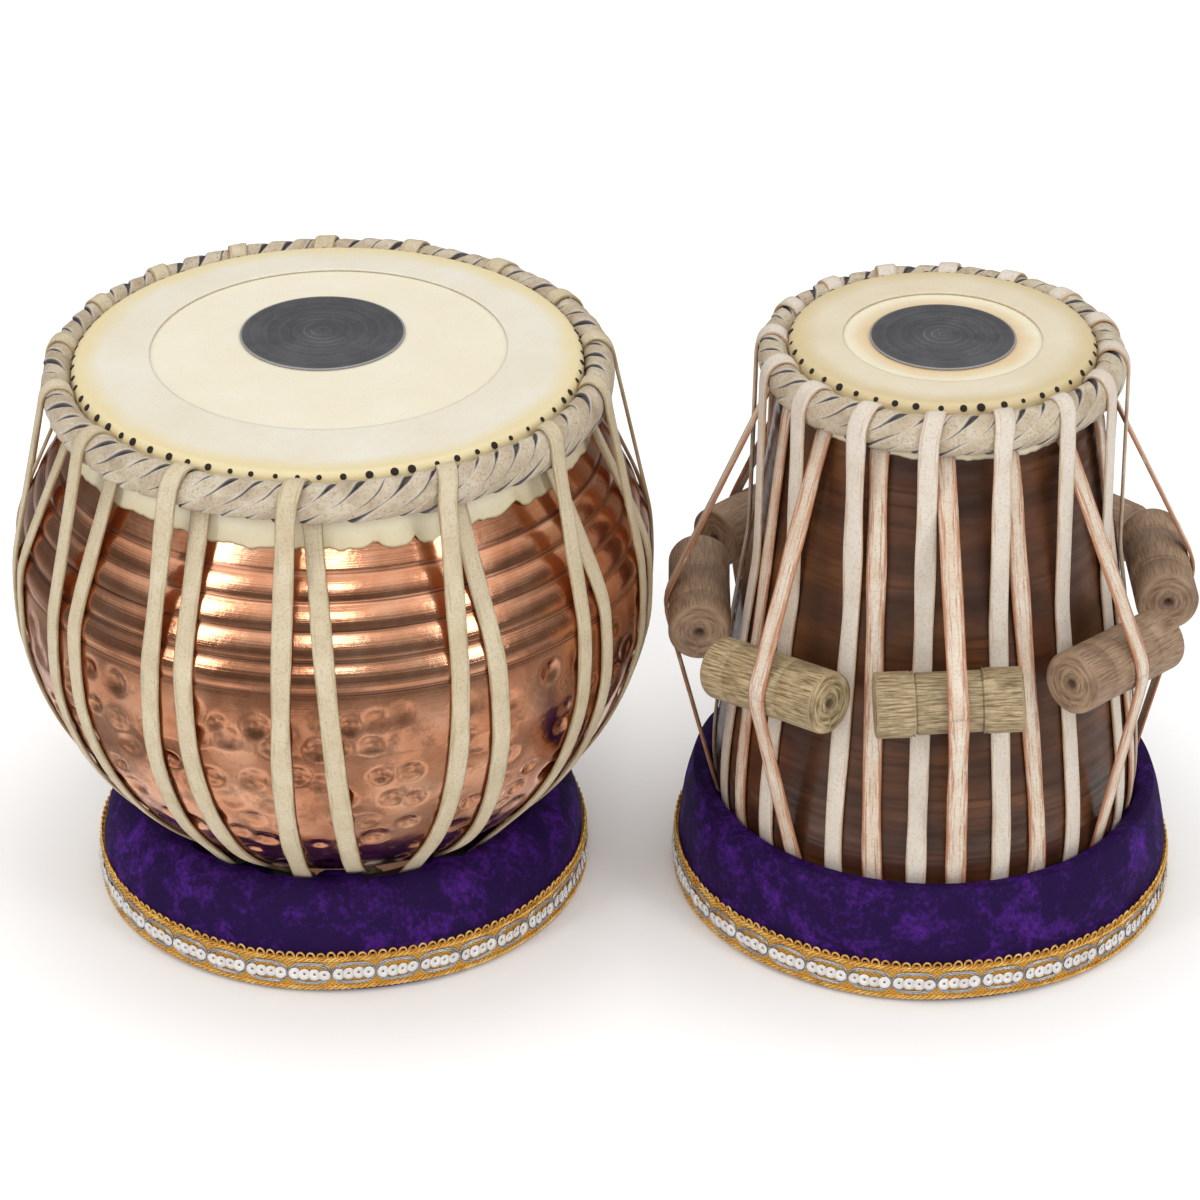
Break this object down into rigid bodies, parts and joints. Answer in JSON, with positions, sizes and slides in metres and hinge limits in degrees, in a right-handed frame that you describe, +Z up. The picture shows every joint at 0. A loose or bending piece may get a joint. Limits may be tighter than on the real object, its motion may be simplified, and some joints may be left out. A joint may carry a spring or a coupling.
{
  "type": "tabla",
  "caption": "Pair of hand drums, a copper bass drum and a wooden treble drum with tuning blocks, each laced with hide straps and resting on a velvet ring cushion.",
  "frame": {"origin": "centre of the whole, on the floor", "axes": "+Z up, -Y towards the player, +X from the bass drum to the treble drum"},
  "size_m": [0.5586, 0.303, 0.2887],
  "materials": {
    "copper": "hammered and polished",
    "dark_wood": "glossy lacquer",
    "block_wood": "bare turned wood",
    "drum_skin": "smooth scraped hide",
    "tuning_paste": "burnished black paste",
    "braid_hide": "twisted rawhide",
    "strap_hide": "rawhide strap",
    "velvet": "crushed velvet",
    "stuffing": "packed cloth",
    "gold_trim": "metallic braid with sequins"
  },
  "bodies": {
    "cushions": {"bayan_cushion_cover": "velvet", "bayan_cushion_stuffing": "stuffing", "bayan_cushion_base": "velvet", "bayan_cushion_trim": "gold_trim", "dayan_cushion_cover": "velvet", "dayan_cushion_stuffing": "stuffing", "dayan_cushion_base": "velvet", "dayan_cushion_trim": "gold_trim"},
    "bayan": {"bayan_shell": "copper", "bayan_lining_ring": "drum_skin", "bayan_main_skin": "drum_skin", "bayan_top_ring": "drum_skin", "bayan_syahi": "tuning_paste", "bayan_gajra": "braid_hide", "bayan_base_ring": "strap_hide", "bayan_lacing": "strap_hide"},
    "dayan": {"dayan_shell": "dark_wood", "dayan_lining_ring": "drum_skin", "dayan_main_skin": "drum_skin", "dayan_top_ring": "drum_skin", "dayan_syahi": "tuning_paste", "dayan_gajra": "braid_hide", "dayan_base_ring": "strap_hide", "dayan_lacing": "strap_hide"},
    "gatta_1": {"gatta_1": "block_wood"},
    "gatta_2": {"gatta_2": "block_wood"},
    "gatta_3": {"gatta_3": "block_wood"},
    "gatta_4": {"gatta_4": "block_wood"},
    "gatta_5": {"gatta_5": "block_wood"},
    "gatta_6": {"gatta_6": "block_wood"},
    "gatta_7": {"gatta_7": "block_wood"},
    "gatta_8": {"gatta_8": "block_wood"}
  },
  "joints": [
    {"name": "bayan_lift", "type": "slide", "parent": "cushions", "child": "bayan", "axis": [0, 0, 1], "range_m": [0, 0.12]},
    {"name": "dayan_lift", "type": "slide", "parent": "cushions", "child": "dayan", "axis": [0, 0, 1], "range_m": [0, 0.12]},
    {"name": "gatta_1_slide", "type": "slide", "parent": "dayan", "child": "gatta_1", "axis": [0, -0.1415, -0.9899], "range_m": [-0.012, 0.035], "deforming": ["dayan_lacing"]},
    {"name": "gatta_2_slide", "type": "slide", "parent": "dayan", "child": "gatta_2", "axis": [0.1035, -0.0965, -0.9899], "range_m": [-0.012, 0.035], "deforming": ["dayan_lacing"]},
    {"name": "gatta_3_slide", "type": "slide", "parent": "dayan", "child": "gatta_3", "axis": [0.1415, 0, -0.9899], "range_m": [-0.012, 0.035], "deforming": ["dayan_lacing"]},
    {"name": "gatta_4_slide", "type": "slide", "parent": "dayan", "child": "gatta_4", "axis": [0.1001, 0.1001, -0.9899], "range_m": [-0.012, 0.035], "deforming": ["dayan_lacing"]},
    {"name": "gatta_5_slide", "type": "slide", "parent": "dayan", "child": "gatta_5", "axis": [0, 0.1415, -0.9899], "range_m": [-0.012, 0.035], "deforming": ["dayan_lacing"]},
    {"name": "gatta_6_slide", "type": "slide", "parent": "dayan", "child": "gatta_6", "axis": [-0.1001, 0.1001, -0.9899], "range_m": [-0.012, 0.035], "deforming": ["dayan_lacing"]},
    {"name": "gatta_7_slide", "type": "slide", "parent": "dayan", "child": "gatta_7", "axis": [-0.1415, 0.0025, -0.9899], "range_m": [-0.012, 0.035], "deforming": ["dayan_lacing"]},
    {"name": "gatta_8_slide", "type": "slide", "parent": "dayan", "child": "gatta_8", "axis": [-0.0992, -0.1009, -0.9899], "range_m": [-0.012, 0.035], "deforming": ["dayan_lacing"]}
  ]
}
